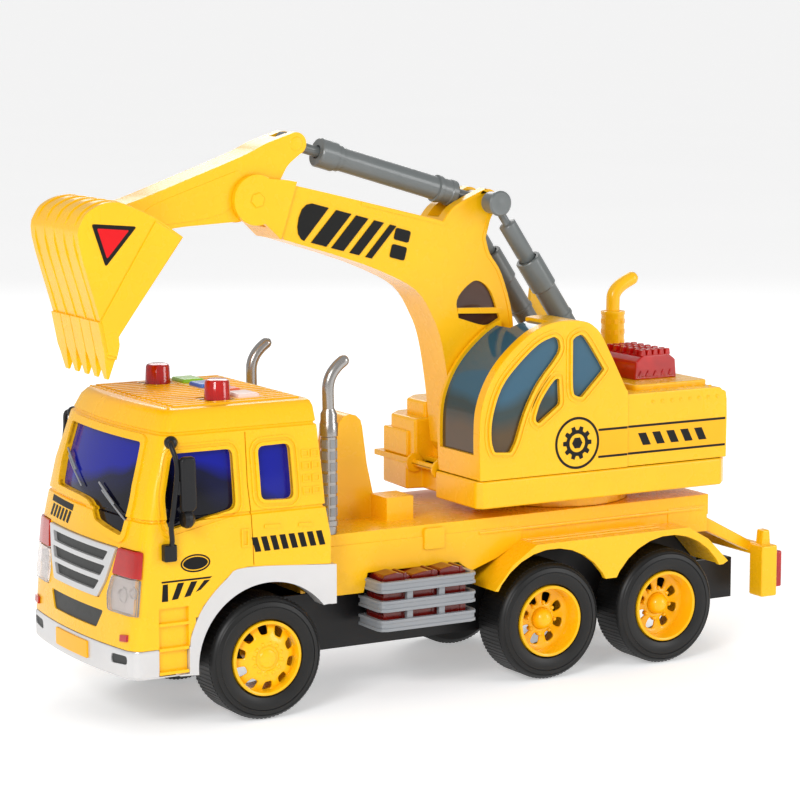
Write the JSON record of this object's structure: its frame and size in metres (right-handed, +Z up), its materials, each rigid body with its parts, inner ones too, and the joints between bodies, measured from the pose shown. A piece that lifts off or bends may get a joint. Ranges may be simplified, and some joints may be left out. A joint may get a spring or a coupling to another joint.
{
  "type": "toy excavator truck",
  "caption": "Toy excavator on a six-wheel toy truck: turning house with cabin, folding boom, stick and toothed bucket, dummy hydraulic cylinders, press buttons on the cab roof.",
  "frame": {"origin": "centre of the bounding box on the ground under the wheels", "axes": "+X the driving direction, +Y the truck's left side, +Z up"},
  "size_m": [0.3662, 0.124, 0.2583],
  "materials": {
    "yellow_plastic": "glossy moulded plastic",
    "silver_paint": "silver paint on plastic, satin",
    "black_plastic": "satin black moulded plastic",
    "tyre_rubber": "soft black rubber",
    "axle_steel": "drawn steel rod",
    "blue_glazing": "dark blue tinted clear plastic",
    "smoked_glazing": "smoked clear plastic",
    "red_lens": "clear red moulded plastic",
    "clear_lens": "clear lens over a bright reflector",
    "grey_plastic": "satin grey moulded plastic",
    "circuit_board": "green circuit board",
    "motor_case": "unpainted white plastic",
    "button_green": "glossy green plastic",
    "button_blue": "glossy blue plastic",
    "button_orange": "glossy orange plastic",
    "button_blank": "glossy pale plastic"
  },
  "bodies": {
    "truck": {"chassis": "black_plastic", "battery_cover": "black_plastic", "friction_motor": "motor_case", "sound_board": "circuit_board", "bed_deck": "yellow_plastic", "cab_body": "yellow_plastic", "cab_glazing": "blue_glazing", "grille": "silver_paint", "headlight_left": "clear_lens", "headlight_right": "clear_lens", "front_bumper": "silver_paint", "beacon_left": "red_lens", "beacon_right": "red_lens", "mirror_left": "black_plastic", "mirror_right": "black_plastic", "exhaust_left": "silver_paint", "exhaust_right": "silver_paint", "side_rack_left": "grey_plastic", "side_rack_right": "grey_plastic", "rear_bar": "yellow_plastic", "tail_lamp_left": "red_lens", "tail_lamp_right": "red_lens"},
    "front_axle": {"axle_front": "axle_steel", "tyre_front_left": "tyre_rubber", "rim_front_left": "yellow_plastic", "tyre_front_right": "tyre_rubber", "rim_front_right": "yellow_plastic"},
    "middle_axle": {"axle_middle": "axle_steel", "tyre_middle_left": "tyre_rubber", "rim_middle_left": "yellow_plastic", "tyre_middle_right": "tyre_rubber", "rim_middle_right": "yellow_plastic"},
    "rear_axle": {"axle_rear": "axle_steel", "tyre_rear_left": "tyre_rubber", "rim_rear_left": "yellow_plastic", "tyre_rear_right": "tyre_rubber", "rim_rear_right": "yellow_plastic"},
    "house": {"turntable": "yellow_plastic", "turntable_keeper": "black_plastic", "house_base": "yellow_plastic", "house_shell": "yellow_plastic", "cabin_glazing": "smoked_glazing", "engine_block": "red_lens", "chimney": "yellow_plastic", "boom_pin": "axle_steel"},
    "boom": {"boom": "yellow_plastic", "lug_pin": "grey_plastic", "stick_pin": "axle_steel"},
    "stick": {"stick": "yellow_plastic"},
    "bucket": {"bucket": "yellow_plastic"},
    "arm_barrel": {"arm_barrel": "grey_plastic"},
    "arm_rod": {"arm_rod": "grey_plastic"},
    "lift_barrel_left": {"lift_barrel_left": "grey_plastic"},
    "lift_rod_left": {"lift_rod_left": "grey_plastic"},
    "lift_barrel_right": {"lift_barrel_right": "grey_plastic"},
    "lift_rod_right": {"lift_rod_right": "grey_plastic"},
    "button_green": {"button_green": "button_green"},
    "button_blue": {"button_blue": "button_blue"},
    "button_orange": {"button_orange": "button_orange"},
    "button_blank": {"button_blank": "button_blank"}
  },
  "joints": [
    {"name": "front_axle_spin", "type": "hinge", "parent": "truck", "child": "front_axle", "pos_m": [0.1072, 0, 0.028], "axis": [0, 1, 0], "continuous": true},
    {"name": "middle_axle_spin", "type": "hinge", "parent": "truck", "child": "middle_axle", "pos_m": [-0.0428, 0, 0.028], "axis": [0, 1, 0], "continuous": true},
    {"name": "rear_axle_spin", "type": "hinge", "parent": "truck", "child": "rear_axle", "pos_m": [-0.1093, 0, 0.028], "axis": [0, 1, 0], "continuous": true},
    {"name": "house_slew", "type": "hinge", "parent": "truck", "child": "house", "pos_m": [-0.0768, 0, 0.084], "axis": [0, 0, 1], "continuous": true},
    {"name": "boom_lift", "type": "hinge", "parent": "house", "child": "boom", "pos_m": [-0.0268, 0, 0.112], "axis": [0, 1, 0], "range_deg": [-8, 16]},
    {"name": "stick_tilt", "type": "hinge", "parent": "boom", "child": "stick", "pos_m": [0.0894, 0, 0.2285], "axis": [0, 1, 0], "range_deg": [-20, 5]},
    {"name": "bucket_tilt", "type": "hinge", "parent": "stick", "child": "bucket", "pos_m": [0.1532, 0, 0.22], "axis": [0, 1, 0], "range_deg": [-45, 12]},
    {"name": "lift_rod_swing_left", "type": "hinge", "parent": "boom", "child": "lift_rod_left", "pos_m": [-0.0331, 0, 0.223], "axis": [0, 1, 0], "range_deg": [-4, 3]},
    {"name": "lift_barrel_slide_left", "type": "slide", "parent": "lift_rod_left", "child": "lift_barrel_left", "axis": [-0.563, 0, -0.8265], "range_m": [-0.011, 0.02]},
    {"name": "lift_rod_swing_right", "type": "hinge", "parent": "boom", "child": "lift_rod_right", "pos_m": [-0.0331, 0, 0.223], "axis": [0, 1, 0], "range_deg": [-4, 3]},
    {"name": "lift_barrel_slide_right", "type": "slide", "parent": "lift_rod_right", "child": "lift_barrel_right", "axis": [-0.563, 0, -0.8265], "range_m": [-0.011, 0.02]},
    {"name": "arm_barrel_swing", "type": "hinge", "parent": "boom", "child": "arm_barrel", "pos_m": [-0.0331, 0, 0.223], "axis": [0, 1, 0], "range_deg": [-2, 5]},
    {"name": "arm_rod_slide", "type": "slide", "parent": "arm_barrel", "child": "arm_rod", "axis": [0.9583, 0, 0.2859], "range_m": [-0.012, 0.004]},
    {"name": "button_press_green", "type": "slide", "parent": "truck", "child": "button_green", "axis": [0, 0, -1], "range_m": [0, 0.0015], "stiffness_N_per_m": 200, "springref_m": -0.0005},
    {"name": "button_press_blue", "type": "slide", "parent": "truck", "child": "button_blue", "axis": [0, 0, -1], "range_m": [0, 0.0015], "stiffness_N_per_m": 200, "springref_m": -0.0005},
    {"name": "button_press_orange", "type": "slide", "parent": "truck", "child": "button_orange", "axis": [0, 0, -1], "range_m": [0, 0.0015], "stiffness_N_per_m": 200, "springref_m": -0.0005},
    {"name": "button_press_blank", "type": "slide", "parent": "truck", "child": "button_blank", "axis": [0, 0, -1], "range_m": [0, 0.0015], "stiffness_N_per_m": 200, "springref_m": -0.0005}
  ],
  "couplings": [
    {"joint": "lift_rod_swing_left", "follows": "boom_lift", "ratio": -0.17224},
    {"joint": "lift_barrel_slide_left", "follows": "boom_lift", "m_per_rad": 0.066603},
    {"joint": "lift_rod_swing_right", "follows": "boom_lift", "ratio": -0.17224},
    {"joint": "lift_barrel_slide_right", "follows": "boom_lift", "m_per_rad": 0.066603},
    {"joint": "arm_barrel_swing", "follows": "stick_tilt", "ratio": -0.17553},
    {"joint": "arm_rod_slide", "follows": "stick_tilt", "m_per_rad": 0.026936}
  ]
}
